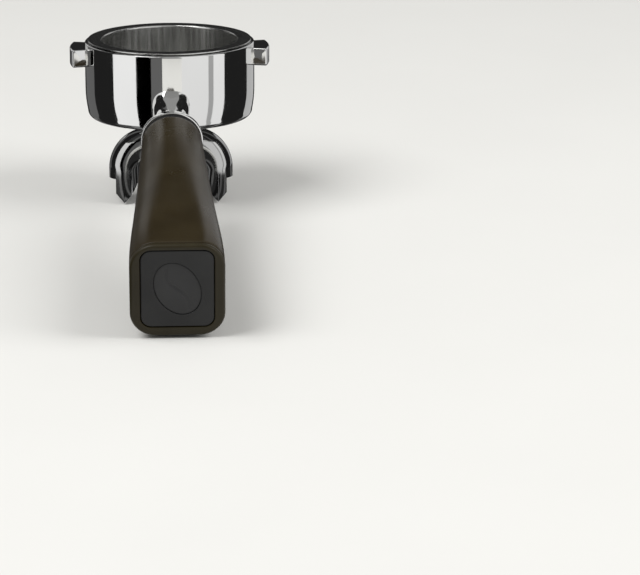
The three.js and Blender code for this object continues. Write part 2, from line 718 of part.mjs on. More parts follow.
function flatWasher() {
  return turnedRing([
    [BOLT_RADIUS + GAP, BOLT_SEAT + GAP],
    [WASHER_RADIUS, BOLT_SEAT + GAP],
    [WASHER_RADIUS, flatWasherTop],
    [BOLT_RADIUS + GAP, flatWasherTop],
  ], SMALL_STEPS);
}

function springWasher() {
  const ring = toSolid(turnedRing([
    [BOLT_RADIUS + GAP, springWasherLow],
    [SPRING_RADIUS, springWasherLow],
    [SPRING_RADIUS, springWasherTop],
    [BOLT_RADIUS + GAP, springWasherTop],
  ], SMALL_STEPS));
  const split = toSolid(
    new THREE.BoxGeometry(SPRING_SPLIT, SPRING_RADIUS, 4 * SPRING_THICKNESS)
      .rotateY(THREE.MathUtils.degToRad(SPRING_SPLIT_ANGLE))
      .translate(0, SPRING_RADIUS, (springWasherLow + springWasherTop) / 2),
  );
  return ring.subtract(split);
}

function handleBolt() {
  const headTop = headLow + BOLT_HEAD_LENGTH;
  const body = toSolid(turned([
    [0, BOLT_TIP],
    [BOLT_RADIUS - EDGE, BOLT_TIP],
    [BOLT_RADIUS, BOLT_TIP + EDGE],
    [BOLT_RADIUS, headLow],
    [BOLT_HEAD_RADIUS, headLow],
    [BOLT_HEAD_RADIUS, headTop - FINE_EDGE],
    [BOLT_HEAD_RADIUS - FINE_EDGE, headTop],
    [0, headTop],
  ], SMALL_STEPS));
  const socket = toSolid(
    new THREE.CylinderGeometry(BOLT_KEY_RADIUS, BOLT_KEY_RADIUS, 2 * BOLT_KEY_DEPTH, 6)
      .rotateX(Math.PI / 2).translate(0, 0, headTop),
  );
  return body.subtract(socket);
}

// ---- assembly -----------------------------------------------------------------------

const group = new THREE.Group();
group.add(handleFrame);

function addPiece(parent, name, shape, material) {
  const geometry = shape.isBufferGeometry ? closedMesh(shape) : toGeometry(shape);
  geometry.computeVertexNormals();
  const mesh = new THREE.Mesh(geometry, material);
  mesh.name = name;
  parent.add(mesh);
  return mesh;
}

const chrome = () => metal(0xd6d6d4, 0.06);
const steel = () => metal(0xb9b9b6, 0.28);

addPiece(group, 'filter_holder', filterHolder(), chrome());
addPiece(group, 'filter_basket', filterBasket(), steel());
addPiece(group, 'basket_clip', basketClip(), steel()).position.z = GROOVE_Z;
addPiece(group, 'spout_gasket', spoutGasket(), plastic(0x8c3a2a, 0.7));
addPiece(group, 'double_spout', doubleSpout(), chrome());
addPiece(handleFrame, 'ferrule', ferrule(), chrome());
addPiece(handleFrame, 'ferrule_seal', ferruleSeal(), plastic(0x1a1a19, 0.8));
addPiece(handleFrame, 'grip_core', gripCore(), plastic(0x26241f, 0.6));
addPiece(handleFrame, 'grip_sleeve', gripSleeve(), plastic(0x30291d, 0.45));
addPiece(handleFrame, 'end_ring', endRing(), plastic(0x332f20, 0.42));
addPiece(handleFrame, 'end_cap', endCap(), plastic(0x2c2c2c, 0.5));
addPiece(handleFrame, 'cap_emblem', capEmblem(), plastic(0x3b3b3c, 0.5));
addPiece(handleFrame, 'flat_washer', flatWasher(), steel());
addPiece(handleFrame, 'spring_washer', springWasher(), steel());
addPiece(handleFrame, 'handle_bolt', handleBolt(), steel());

export default group;
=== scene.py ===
import math
import bpy
import numpy as np
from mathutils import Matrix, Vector


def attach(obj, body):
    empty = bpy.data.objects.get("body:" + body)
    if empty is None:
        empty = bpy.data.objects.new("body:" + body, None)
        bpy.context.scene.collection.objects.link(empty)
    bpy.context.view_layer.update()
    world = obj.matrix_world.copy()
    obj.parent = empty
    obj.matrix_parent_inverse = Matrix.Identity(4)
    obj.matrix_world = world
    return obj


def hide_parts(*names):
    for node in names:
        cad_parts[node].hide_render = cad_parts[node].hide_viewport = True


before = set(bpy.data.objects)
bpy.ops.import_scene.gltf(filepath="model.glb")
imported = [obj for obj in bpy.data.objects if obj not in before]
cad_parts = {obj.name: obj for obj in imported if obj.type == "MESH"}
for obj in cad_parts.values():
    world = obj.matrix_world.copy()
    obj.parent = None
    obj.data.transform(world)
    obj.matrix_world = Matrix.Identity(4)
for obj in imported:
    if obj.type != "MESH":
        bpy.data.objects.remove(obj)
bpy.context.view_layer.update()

mm = 0.001

# the camera stands in front of the handle's end and a little above it
camera = {
    "place": (-0.01484, -1.41664, 0.27689), "aim": (0.0635, -0.02039, -0.1063), "lens": 188.7,
}


# ---------- helpers: surfaces ----------

def makePiece(name, body, slot, nodes, verts, faces, sharpAngle=32):
    # verts in millimetres; faces is a list of index arrays, one row per face
    mesh = bpy.data.meshes.new(name)
    loops = np.concatenate([f.ravel() for f in faces])
    sizes = np.concatenate([np.full(len(f), f.shape[1]) for f in faces])
    starts = np.concatenate([[0], np.cumsum(sizes)[:-1]])
    mesh.vertices.add(len(verts))
    mesh.vertices.foreach_set("co", (np.asarray(verts) * mm).astype(np.float32).ravel())
    mesh.loops.add(len(loops))
    mesh.loops.foreach_set("vertex_index", loops.astype(np.int32))
    mesh.polygons.add(len(sizes))
    mesh.polygons.foreach_set("loop_start", starts.astype(np.int32))
    mesh.polygons.foreach_set("loop_total", sizes.astype(np.int32))
    mesh.polygons.foreach_set("use_smooth", np.ones(len(sizes), dtype=bool))
    mesh.update(calc_edges=True)
    mesh.set_sharp_from_angle(angle=math.radians(sharpAngle))
    piece = bpy.data.objects.new(name, mesh)
    bpy.context.scene.collection.objects.link(piece)
    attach(piece, body)
    if nodes:
        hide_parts(*nodes)
    return piece


def skin(rings, loop=False, poles=False):
    # rings[k, m] is a point: quads join neighbours round each ring and from ring to ring.
    # loop joins the last ring to the first; poles close both ends with a fan to their middle.
    rings = np.asarray(rings, dtype=float)
    count, around = rings.shape[:2]
    k = np.arange(count if loop else count - 1)[:, None]
    m = np.arange(around)[None, :]
    nextK, nextM = (k + 1) % count, (m + 1) % around
    quads = np.stack([k * around + m, k * around + nextM,
                      nextK * around + nextM, nextK * around + m], axis=-1)
    verts, faces = rings.reshape(-1, 3), [quads.reshape(-1, 4)]
    if poles:
        first, last = len(verts), len(verts) + 1
        verts = np.vstack([verts, rings[0].mean(axis=0), rings[-1].mean(axis=0)])
        m = np.arange(around)
        nextM, base = (m + 1) % around, (count - 1) * around
        faces.append(np.stack([np.full(around, first), nextM, m], axis=-1))
        faces.append(np.stack([np.full(around, last), base + m, base + nextM], axis=-1))
    return outward(verts, faces)


def outward(verts, faces):
    # turns every face over when the enclosed volume comes out negative
    volume = 0
    for f in faces:
        for i in range(1, f.shape[1] - 1):
            a, b, c = verts[f[:, 0]], verts[f[:, i]], verts[f[:, i + 1]]
            volume += np.einsum("ij,ij->i", a, np.cross(b, c)).sum()
    return (verts, [f[:, ::-1] for f in faces]) if volume < 0 else (verts, faces)


def joined(*parts):
    verts, faces, offset = [], [], 0
    for v, fs in parts:
        verts.append(v)
        faces += [f + offset for f in fs]
        offset += len(v)
    return np.vstack(verts), faces


def rounded(corners, closed=False, steps=6):
    # corners are (a, b, radius): each corner is replaced by a curve that starts and ends
    # on its two sides, at (1 - t)^2 start + 2 t (1 - t) corner + t^2 end
    out, t = [], np.linspace(0, 1, steps + 1)[:, None]
    for i, (a, b, radius) in enumerate(corners):
        corner = np.array([a, b], dtype=float)
        if radius == 0 or (not closed and i in (0, len(corners) - 1)):
            out.append(corner[None])
            continue
        before = np.array(corners[i - 1][:2]) - corner
        after = np.array(corners[(i + 1) % len(corners)][:2]) - corner
        start = corner + before * min(radius / np.linalg.norm(before), 0.49)
        end = corner + after * min(radius / np.linalg.norm(after), 0.49)
        out.append((1 - t) ** 2 * start + 2 * t * (1 - t) * corner + t ** 2 * end)
    return np.vstack(out)


def turned(profile, steps, closed=True):
    # a profile of (r, z) turned about Z: x = r cos a, y = r sin a
    profile = np.asarray(profile, dtype=float)
    angle = np.linspace(0, 2 * np.pi, steps, endpoint=False)
    r, z = profile[:, 0][:, None], profile[:, 1][:, None]
    rings = np.stack([r * np.cos(angle), r * np.sin(angle), z + 0 * angle], axis=-1)
    return skin(rings, loop=closed, poles=not closed)


def outline(halfWidth, halfHeight, corner, lift=0.0, around=96):
    # a rounded rectangle by direction: the corner circle's centre plus its radius
    # along (cos a, sin a)
    angle = (np.arange(around) + 0.5) / around * 2 * np.pi
    x = np.sign(np.cos(angle)) * (halfWidth - corner) + corner * np.cos(angle)
    y = np.sign(np.sin(angle)) * (halfHeight - corner) + corner * np.sin(angle)
    return np.stack([x, y + lift], axis=-1)


# the handle's own frame: z along the grip away from the bowl, y its upper side
slope = math.radians(13.2)
gripStart = np.array([0, -56, -33.2])
gripAxis = np.array([0, -math.cos(slope), -math.sin(slope)])
gripUp = np.array([0, -math.sin(slope), math.cos(slope)])


def onGrip(part):
    verts, faces = part
    across, up, along = verts[:, :1], verts[:, 1:2], verts[:, 2:3]
    placed = gripStart + across * [1, 0, 0] + up * gripUp + along * gripAxis
    return placed, faces


# ---------- helpers: materials ----------

def newMaterial(name, base, metallic, roughness):
    mat = bpy.data.materials.new(name)
    mat.use_nodes = True
    shader = mat.node_tree.nodes["Principled BSDF"]
    shader.inputs["Base Color"].default_value = (*base, 1)
    shader.inputs["Metallic"].default_value = metallic
    shader.inputs["Roughness"].default_value = roughness
    return mat, mat.node_tree, shader


def addNode(tree, kind, **values):
    node = tree.nodes.new("ShaderNode" + kind)
    for key, value in values.items():
        if hasattr(node, key) and key not in node.inputs:
            setattr(node, key, value)
        else:
            node.inputs[key].default_value = value
    return node


def noise(tree, scale, detail=3.0, stretch=(1, 1, 1), turn=(0, 0, 0)):
    # noise read in metres from the piece's own coordinates, stretched along its axes
    coords = addNode(tree, "TexCoord")
    place = addNode(tree, "Mapping")
    place.inputs["Scale"].default_value = stretch
    place.inputs["Rotation"].default_value = turn
    tex = addNode(tree, "TexNoise", Scale=scale, Detail=detail)
    tree.links.new(coords.outputs["Object"], place.inputs["Vector"])
    tree.links.new(place.outputs["Vector"], tex.inputs["Vector"])
    return tex.outputs["Fac"]


def ramp(tree, value, low, high, stops=(0.35, 0.65)):
    # colours or plain levels from one value, blended between two stops
    node = addNode(tree, "ValToRGB")
    asColour = [(c, c, c, 1) if isinstance(c, (int, float)) else (*c, 1) for c in (low, high)]
    for element, stop, colour in zip(node.color_ramp.elements, stops, asColour):
        element.position, element.color = stop, colour
    tree.links.new(value, node.inputs["Fac"])
    return node.outputs["Color"]


def bump(tree, shader, layers):
    # each layer is (value, height in metres): the bumps are chained one on another
    last = None
    for value, height in layers:
        node = addNode(tree, "Bump", Strength=1.0, Distance=height)
        tree.links.new(value, node.inputs["Height"])
        if last:
            tree.links.new(last.outputs["Normal"], node.inputs["Normal"])
        last = node
    tree.links.new(last.outputs["Normal"], shader.inputs["Normal"])


# ---------- materials ----------

chrome = {
    "colour": (0.80, 0.80, 0.79),
    "haze": (0.035, 0.085),       # roughness where clean and where handled
    "smudgeSize": 55,
    "scratchHeight": 0.0000012,
}


# paintedLightScale scales the chrome's colour: 1 is the plain plate, below 1 is painted shade,
# above 1 a painted highlight
def chromeMaterial(name, paintedLightScale=1.0, haze=chrome["haze"]):
    mat, tree, shader = newMaterial(name, [c * paintedLightScale for c in chrome["colour"]], 1.0, haze[0])
    smudge = noise(tree, chrome["smudgeSize"], 5)
    tree.links.new(ramp(tree, smudge, *haze), shader.inputs["Roughness"])
    plate = noise(tree, 18, 2)
    low = [c * paintedLightScale * 0.94 for c in chrome["colour"]]
    high = [c * paintedLightScale for c in chrome["colour"]]
    tree.links.new(ramp(tree, plate, low, high), shader.inputs["Base Color"])
    scratches = noise(tree, 900, 2, (1, 1, 0.06), (0.2, 0.1, 0))
    bump(tree, shader, [(scratches, chrome["scratchHeight"]), (noise(tree, 120, 2), 0.000004)])
    return mat


plasticLook = {
    "brown": ((0.0200, 0.0140, 0.0052), (0.0255, 0.0185, 0.0075)),
    "ring": ((0.0175, 0.0133, 0.0048), (0.0225, 0.0177, 0.0068)),
    "grey": ((0.0185, 0.0185, 0.0190), (0.0230, 0.0230, 0.0235)),
    "emblem": ((0.027, 0.027, 0.028), (0.032, 0.032, 0.033)),
    "rubber": ((0.010, 0.010, 0.010), (0.018, 0.018, 0.017)),
    "fibre": ((0.17, 0.035, 0.02), (0.25, 0.06, 0.035)),
    "core": ((0.012, 0.011, 0.010), (0.018, 0.017, 0.015)),
    "sheen": 0.24,
    "grain": 1900,
    "grainHeight": 0.000022,
}


def plasticMaterial(name, tones, gloss, grainHeight=plasticLook["grainHeight"]):
    mat, tree, shader = newMaterial(name, tones[0], 0.0, gloss[0])
    mottle = noise(tree, 70, 6)
    tree.links.new(ramp(tree, mottle, *tones), shader.inputs["Base Color"])
    rubbed = noise(tree, 28, 4)     # patches that hands have polished
    tree.links.new(ramp(tree, rubbed, *gloss), shader.inputs["Roughness"])
    grain = noise(tree, plasticLook["grain"], 2)
    drag = noise(tree, 260, 3, (1, 0.25, 1))
    bump(tree, shader, [(grain, grainHeight), (drag, 0.00001)])
    shader.inputs["Specular IOR Level"].default_value = plasticLook["sheen"]
    return mat


def steelMaterial(name, colour, gloss, stretch):
    # drawn or pressed steel: fine lines along the direction of forming
    mat, tree, shader = newMaterial(name, colour, 1.0, gloss[0])
    lines = noise(tree, 700, 3, stretch)
    tree.links.new(ramp(tree, lines, *gloss), shader.inputs["Roughness"])
    cloud = noise(tree, 40, 3)
    shade = [c * 0.9 for c in colour]
    tree.links.new(ramp(tree, cloud, shade, colour), shader.inputs["Base Color"])
    bump(tree, shader, [(lines, 0.000004)])
    return mat


stainLook = {
    "radius": (0.0331, 0.0327),       # fades in from the first to the second, in metres
    "height": (-0.0305, -0.0300),     # nothing under the bowl is stained
    "patchSize": 90, "patches": (0.25, 0.85),
    "colour": (0.17, 0.105, 0.06, 1), "roughness": (0.38, 0.38, 0.38, 1),
}


def fade(tree, value, start, end):
    # 0 at start and 1 at end
    node = addNode(tree, "MapRange")
    for name, level in (("From Min", start), ("From Max", end), ("To Min", 0.0), ("To Max", 1.0)):
        node.inputs[name].default_value = level
    tree.links.new(value, node.inputs["Value"])
    return node.outputs[0]


def calc(tree, operation, *values):
    node = addNode(tree, "Math", operation=operation)
    for value, socket in zip(values, node.inputs):
        tree.links.new(value, socket)
    return node.outputs[0]


def bowlMaterial():
    # chrome outside; inside the bowl the plate is dulled and browned by coffee in patches
    mat = chromeMaterial("bowlChrome")
    tree, shader = mat.node_tree, mat.node_tree.nodes["Principled BSDF"]
    coords = addNode(tree, "TexCoord")
    split = addNode(tree, "SeparateXYZ")
    tree.links.new(coords.outputs["Object"], split.inputs["Vector"])
    x, y = split.outputs["X"], split.outputs["Y"]
    squares = [calc(tree, "MULTIPLY", axis, axis) for axis in (x, y)]
    radius = calc(tree, "SQRT", calc(tree, "ADD", *squares))
    inside = fade(tree, radius, *stainLook["radius"])
    above = fade(tree, split.outputs["Z"], *stainLook["height"])
    patches = ramp(tree, noise(tree, stainLook["patchSize"], 6), *stainLook["patches"])
    stain = calc(tree, "MULTIPLY", calc(tree, "MULTIPLY", inside, above), patches)
    dirty = (("Base Color", stainLook["colour"]), ("Roughness", stainLook["roughness"]))
    for socket, level in dirty:
        clean = shader.inputs[socket].links[0].from_socket
        mix = addNode(tree, "MixRGB")
        tree.links.new(stain, mix.inputs["Fac"])
        tree.links.new(clean, mix.inputs["Color1"])
        mix.inputs["Color2"].default_value = level
        tree.links.new(mix.outputs["Color"], shader.inputs[socket])
    return mat


def dress(piece, mat):
    piece.data.materials.clear()
    piece.data.materials.append(mat)


brown = plasticMaterial("brownSatin", plasticLook["brown"], (0.27, 0.36))
ringBrown = plasticMaterial("brownBezel", plasticLook["ring"], (0.30, 0.40))
capGrey = plasticMaterial("greySatin", plasticLook["grey"], (0.40, 0.50), 0.000014)
emblemGrey = plasticMaterial("emblemGrey", plasticLook["emblem"], (0.34, 0.42), 0.000008)
# the spout's chrome is painted darker, at 0.7 of the plain chrome: painted shade standing in for
# the dark surroundings the spout reflects
spoutChromeShaded = chromeMaterial("spoutChromeShaded", 0.7, (0.045, 0.11))
# the ferrule's chrome is painted brighter, at 1.15 of the plain chrome: a painted highlight
ferruleChromeLit = chromeMaterial("ferruleChromeLit", 1.15, (0.03, 0.06))
basketSteel = steelMaterial("basketSteel", (0.60, 0.60, 0.585), (0.16, 0.27), (1, 1, 0.05))
wireSteel = steelMaterial("wireSteel", (0.52, 0.52, 0.51), (0.2, 0.34), (0.2, 0.2, 1))
boltSteel = steelMaterial("boltSteel", (0.42, 0.42, 0.40), (0.3, 0.45), (1, 0.2, 0.2))
sealRubber = plasticMaterial("sealRubber", plasticLook["rubber"], (0.62, 0.78), 0.00003)
gasketFibre = plasticMaterial("gasketFibre", plasticLook["fibre"], (0.6, 0.8), 0.00004)
corePlastic = plasticMaterial("corePlastic", plasticLook["core"], (0.5, 0.6))
print("materials made")


# ---------- bowl, lugs and arm ----------

bowl = {
    "radius": 36.3, "bore": 30.6, "rim": -0.9, "bottom": -33.4, "foot": 32.6, "footRound": 2.7,
    "floor": -27.6, "grooveLow": -8.6, "grooveHigh": -6.2, "grooveRadius": 32.7,
    "bossRadius": 11.5, "bossRoot": 13.1, "rootHeight": 0.8, "bossEnd": -35.0,
    "threadRadius": 8.48, "steps": 192,
    "drawFrom": -20, "drawHeight": 10.6, "drawPower": 2.2,
}
footArc = np.radians(np.linspace(-90, -12, 10))
barrelDrop = np.linspace(1, 0, 12)     # the lower wall draws in by 1 mm times drop ^ drawPower
bowlWall = [(bowl["foot"] + bowl["footRound"] * math.cos(a),
             bowl["bottom"] + bowl["footRound"] * (1 + math.sin(a)), 0) for a in footArc]
bowlWall += [(bowl["radius"] - d ** bowl["drawPower"],
              bowl["drawFrom"] - bowl["drawHeight"] * d, 0) for d in barrelDrop]
bowlProfile = rounded([
    (bowl["threadRadius"], bowl["bossEnd"], 0.4),
    (bowl["bossRadius"], bowl["bossEnd"], 0.5),
    (bowl["bossRadius"], bowl["bottom"] - bowl["rootHeight"], 0.3),
    (bowl["bossRoot"], bowl["bottom"], 0.3),
    *bowlWall,
    (bowl["radius"], bowl["rim"], 0.9),
    (bowl["bore"] + 0.4, bowl["rim"], 0.4),
    (bowl["bore"], bowl["rim"] - 0.9, 0.4),
    (bowl["bore"], bowl["grooveHigh"], 0.15),
    (bowl["grooveRadius"], bowl["grooveHigh"], 0.25),
    (bowl["grooveRadius"], bowl["grooveLow"], 0.25),
    (bowl["bore"], bowl["grooveLow"], 0.15),
    (bowl["bore"], bowl["floor"], 3.0),
    (bowl["bore"] - 4.5, bowl["floor"] - 0.1, 1.0),
    (bowl["threadRadius"], bowl["floor"] - 1.3, 0.6),
], closed=True, steps=8)
bowlPart = turned(bowlProfile, bowl["steps"])

lug = {"inner": 33.2, "outer": 42.75, "top": -3.0, "thickness": 7.6, "halfAngle": 14.0, "edge": 0.9}


def lugPart(facing):
    # a rounded bar section (radius, height) swept round the bowl's axis; its end sections
    # shrink along a quarter circle, so the ends are rounded too
    halfR, halfZ = (lug["outer"] - lug["inner"]) / 2, lug["thickness"] / 2
    section = outline(halfR, halfZ, lug["edge"], around=64)
    turn = np.linspace(0, np.pi / 2, 6)
    endShrink = lug["edge"] * (1 - np.cos(turn))
    endPlace = math.radians(lug["halfAngle"]) - lug["edge"] * (1 - np.sin(turn)) / lug["outer"]
    middle = np.linspace(-endPlace[0], endPlace[0], 24)
    places = np.concatenate([-endPlace[::-1], middle[1:-1], endPlace])
    shrink = np.concatenate([endShrink[::-1], np.zeros(len(middle) - 2), endShrink])[:, None]
    r = (lug["outer"] + lug["inner"]) / 2 + section[:, 0] * (1 - shrink / halfR)
    z = lug["top"] - halfZ + section[:, 1] * (1 - shrink / halfZ)
    angle = places[:, None] + facing
    rings = np.stack([r * np.cos(angle), r * np.sin(angle), z + 0 * angle], axis=-1)
    return skin(rings, poles=True)


arm = {
    "root": (0, -28, -22), "bend": (0, -36.3, -23.5), "straight": 5.7, "end": -6.5,
    "along": [0, 0.2, 0.36, 0.52, 0.68, 0.82, 0.92, 1.0],
    "halfWidth": [9.5, 6.8, 5.9, 5.7, 6.0, 7.1, 8.8, 10.6],
    "halfHeight": [9.2, 8.6, 8.0, 7.8, 8.0, 8.6, 9.4, 10.6],
    "fullness": 0.6,
    "startAt": 0.15,      # the curve is only drawn from inside the bowl's wall
    "rootFlare": 1.6, "wallAt": 0.33, "flareLength": 0.09,
}


def smoothTable(x, xs, ys):
    # a cubic through a table: Hermite pieces with slopes from the neighbours
    xs, ys = np.array(xs, dtype=float), np.array(ys, dtype=float)
    slopes = np.gradient(ys, xs)
    i = np.clip(np.searchsorted(xs, x) - 1, 0, len(xs) - 2)
    h = xs[i + 1] - xs[i]
    t = (x - xs[i]) / h
    return ((2 * t ** 3 - 3 * t ** 2 + 1) * ys[i] + (t ** 3 - 2 * t ** 2 + t) * h * slopes[i]
            + (3 * t ** 2 - 2 * t ** 3) * ys[i + 1] + (t ** 3 - t ** 2) * h * slopes[i + 1])


def armPart():
    # full ovals, |x/a|^n + |z/b|^n = 1, along one cubic curve that ends in line with the grip;
    # n falls from 2.6 at the bowl to 2, a circle, at the ferrule
    end = gripStart + arm["end"] * gripAxis
    ctrl = np.array([arm["root"], arm["bend"], end - arm["straight"] * gripAxis, end])
    t = np.linspace(arm["startAt"], 1, 70)[:, None]
    centre = ((1 - t) ** 3 * ctrl[0] + 3 * t * (1 - t) ** 2 * ctrl[1]
              + 3 * t ** 2 * (1 - t) * ctrl[2] + t ** 3 * ctrl[3])
    forward = np.gradient(centre, axis=0)
    forward /= np.linalg.norm(forward, axis=1, keepdims=True)
    up = np.cross([1.0, 0, 0], forward)
    flare = arm["rootFlare"] * np.exp(-(np.clip(t - arm["wallAt"], 0, 1) / arm["flareLength"]) ** 2)
    a = smoothTable(t, arm["along"], arm["halfWidth"]) + flare
    b = smoothTable(t, arm["along"], arm["halfHeight"])
    angle = np.linspace(0, 2 * np.pi, 96, endpoint=False)
    power = 2 / (2 + arm["fullness"] * (1 - t * t))
    x = a * np.sign(np.cos(angle)) * np.abs(np.cos(angle)) ** power
    z = b * np.sign(np.sin(angle)) * np.abs(np.sin(angle)) ** power
    rings = centre[:, None] + x[..., None] * np.array([1.0, 0, 0]) + z[..., None] * up[:, None]
    return skin(rings, poles=True)


casting = makePiece("bowlCasting", "holder", "chromed_brass", ["filter_holder"],
                    *joined(bowlPart, lugPart(0), lugPart(np.pi), armPart()))
dress(casting, bowlMaterial())
print("bowl, lugs and arm made:", len(casting.data.polygons), "faces")


# ---------- basket ----------

basket = {
    "radius": 29.9, "wall": 0.7, "depth": 24.2, "corner": 3.6, "flange": 35.0, "rimThickness": 0.6,
    "holePitch": 1.75, "holeRadius": 0.34, "holesTo": 24.6, "steps": 192,
}
innerWall = basket["radius"] - basket["wall"]
floorTop = -basket["depth"] + basket["wall"]
basketProfile = rounded([
    (basket["holesTo"] - 1.0, -basket["depth"] + 0.04, 0),
    (basket["radius"] - 0.2, -basket["depth"] + 0.04, basket["corner"]),
    (basket["radius"], -basket["rimThickness"], 0.5),
    (basket["flange"], -basket["rimThickness"], 0.28),
    (basket["flange"], 0, 0.28),
    (innerWall, 0, 0.9),
    (innerWall - 0.2, floorTop - 0.04, basket["corner"] - basket["wall"]),
    (basket["holesTo"] - 1.0, floorTop - 0.04, 0),
], closed=True, steps=8)


def sievePart():
    # a sheet of hexagonal cells, each with a drilled hole: ring 0 is the cell's edge, ring 1 the
    # hole's rim; both repeat on the underside, and the wall of the hole joins them
    pitch, reach = basket["holePitch"], basket["holesTo"]
    n = int(reach / pitch) + 2
    i, j = np.meshgrid(np.arange(-n, n + 1), np.arange(-n, n + 1))
    centre = np.stack([pitch * (i + j / 2), pitch * j * math.sqrt(3) / 2], axis=-1).reshape(-1, 2)
    centre = centre[np.hypot(*centre.T) < reach - pitch * 0.4]
    angle = np.arange(12) / 12 * 2 * np.pi
    edge = pitch / 2 / np.cos((angle + np.pi / 6) % (np.pi / 3) - np.pi / 6)
    direction = np.stack([np.cos(angle), np.sin(angle)], axis=-1)
    cell, hole = direction * edge[:, None], direction * basket["holeRadius"]
    low, high = -basket["depth"], floorTop
    rings = np.concatenate([np.c_[cell, np.full(12, high)], np.c_[hole, np.full(12, high)],
                            np.c_[hole, np.full(12, low)], np.c_[cell, np.full(12, low)]])
    verts = (rings[None] + np.c_[centre, np.zeros(len(centre))][:, None]).reshape(-1, 3)
    k, m = np.meshgrid(np.arange(4), np.arange(12), indexing="ij")
    quad = np.stack([k * 12 + m, k * 12 + (m + 1) % 12,
                     (k + 1) % 4 * 12 + (m + 1) % 12, (k + 1) % 4 * 12 + m], axis=-1).reshape(-1, 4)
    quads = (quad[None] + (np.arange(len(centre)) * 48)[:, None, None]).reshape(-1, 4)
    return outward(verts, [quads])


basketPiece = makePiece("sieveBasket", "basket", "basket_steel", ["filter_basket"],
                        *joined(turned(basketProfile, basket["steps"]), sievePart()))
dress(basketPiece, basketSteel)

wire = {"radius": 0.75, "ring": 31.75, "wave": 0.8, "waves": 3, "mouth": 26, "z": -7.4}


def wirePart():
    # the ring's radius dips by half a cosine wave three times, where it presses on the basket
    opening = math.radians(wire["mouth"])
    t = np.linspace(0, 1, 240)
    a = np.pi / 2 + opening / 2 + t * (2 * np.pi - opening)
    r = wire["ring"] - wire["wave"] * (1 - np.cos(2 * np.pi * wire["waves"] * t)) / 2
    centre = np.stack([r * np.cos(a), r * np.sin(a), wire["z"] + 0 * a], axis=-1)
    side = np.stack([np.cos(a), np.sin(a), 0 * a], axis=-1)
    s = np.linspace(0, 2 * np.pi, 12, endpoint=False)
    endRound = np.sqrt(np.clip(np.minimum(t, t[::-1]) / t[2], 0.05, 1))[:, None, None]
    up = np.array([0, 0, 1.0])
    ring = np.cos(s)[None, :, None] * side[:, None] + np.sin(s)[None, :, None] * up
    return skin(centre[:, None] + wire["radius"] * endRound * ring, poles=True)


wirePiece = makePiece("clipWire", "clip", "spring_steel", ["basket_clip"], *wirePart())
dress(wirePiece, wireSteel)
print("basket and wire made:", len(basketPiece.data.polygons), "faces")


# ---------- twin spout ----------

spout = {
    "tube": 6.75, "wall": 1.4, "bendX": 8.96, "bendZ": -56.7, "bendRadius": 10.98,
    "cutZ": -60.6, "cheekX": 23.9, "cheekZ": -66.9, "lipX": 20.3, "lipZ": -70.9,
    "thread": 8.33, "nippleTop": -29.0, "bore": 5.2, "hub": 12.4, "hubTop": -37.1,
    "edge": 0.22,
    "lipCurve": ((4.2, 2.6), (0.6, 7)), "curveEnd": (-0.2, 4),
    "overlap": 2, "maskOut": 8, "maskTop": 6, "maskDepth": 20, "channelOver": 4,
    "footIn": 0.4, "waistOut": 0.8, "waistRise": 4.2, "hubBand": 3.0,
    "relief": 0.7, "core": 0.62, "reliefTo": 0.9, "coreFrom": 1.2,
}


def branchPart(side, radius, bottom):
    # circles along a level stretch, a quarter bend and a straight leg
    turn = np.concatenate([[0], np.linspace(0, np.pi / 2, 40), [np.pi / 2]])
    x = np.concatenate([[-1.0], spout["bendX"] + spout["bendRadius"] * np.sin(turn[1:-1]),
                        [spout["bendX"] + spout["bendRadius"]]])
    z = np.concatenate([[spout["bendZ"] + spout["bendRadius"]],
                        spout["bendZ"] + spout["bendRadius"] * np.cos(turn[1:-1]), [bottom]])
    s = np.linspace(0, 2 * np.pi, 96, endpoint=False)
    rings = np.stack([
        side * (x[:, None] + radius * np.cos(s) * np.sin(turn)[:, None]),
        radius * np.sin(s) + 0 * x[:, None],
        z[:, None] + radius * np.cos(s) * np.cos(turn)[:, None],
    ], axis=-1)
    return skin(rings, poles=True)


def legMask(side, inset, over):
    # the kept part of a leg seen from the front, as a thick slab
    inner = spout["bendX"] + spout["bendRadius"] - spout["tube"]
    wide, cut = spout["cheekX"] + spout["maskOut"], spout["cutZ"] - over
    middle, top = -spout["overlap"], spout["bendZ"] + spout["maskTop"]
    (x1, z1), (x2, z2), (x3, z3) = *spout["lipCurve"], spout["curveEnd"]
    t = np.linspace(0, 1, 24)[:, None]
    ctrl = np.array([[spout["lipX"] + inset, spout["lipZ"] + inset - over],
                     [inner + x1 + inset, spout["lipZ"] + z1 + inset],
                     [inner + x2 + inset, spout["lipZ"] + z2 + inset],
                     [inner + x3 + inset, spout["cutZ"] + z3]])
    floor = ((1 - t) ** 3 * ctrl[0] + 3 * t * (1 - t) ** 2 * ctrl[1]
             + 3 * t ** 2 * (1 - t) * ctrl[2] + t ** 3 * ctrl[3])
    edge = np.vstack([[middle, 0], [wide, 0], [wide, cut], [spout["cheekX"] + over, cut],
                      [spout["cheekX"] + over, spout["cheekZ"] - over], floor,
                      [inner - spout["overlap"] + inset, top], [middle, top]])
    n = len(edge)
    verts = np.vstack([np.stack([side * edge[:, 0], np.full(n, y), edge[:, 1]], axis=-1)
                       for y in (-spout["maskDepth"], spout["maskDepth"])])
    i = np.arange(n)
    sides = np.stack([i, (i + 1) % n, (i + 1) % n + n, i + n], axis=-1)
    return outward(verts, [sides, i[None], (i + n)[None, ::-1]])


def loose(name, part):
    # an unlisted working mesh, in metres, used only as a tool by the cuts
    verts, faces = part
    mesh = bpy.data.meshes.new(name)
    mesh.from_pydata((verts * mm).tolist(), [], [row.tolist() for f in faces for row in f])
    piece = bpy.data.objects.new(name, mesh)
    bpy.context.scene.collection.objects.link(piece)
    return piece


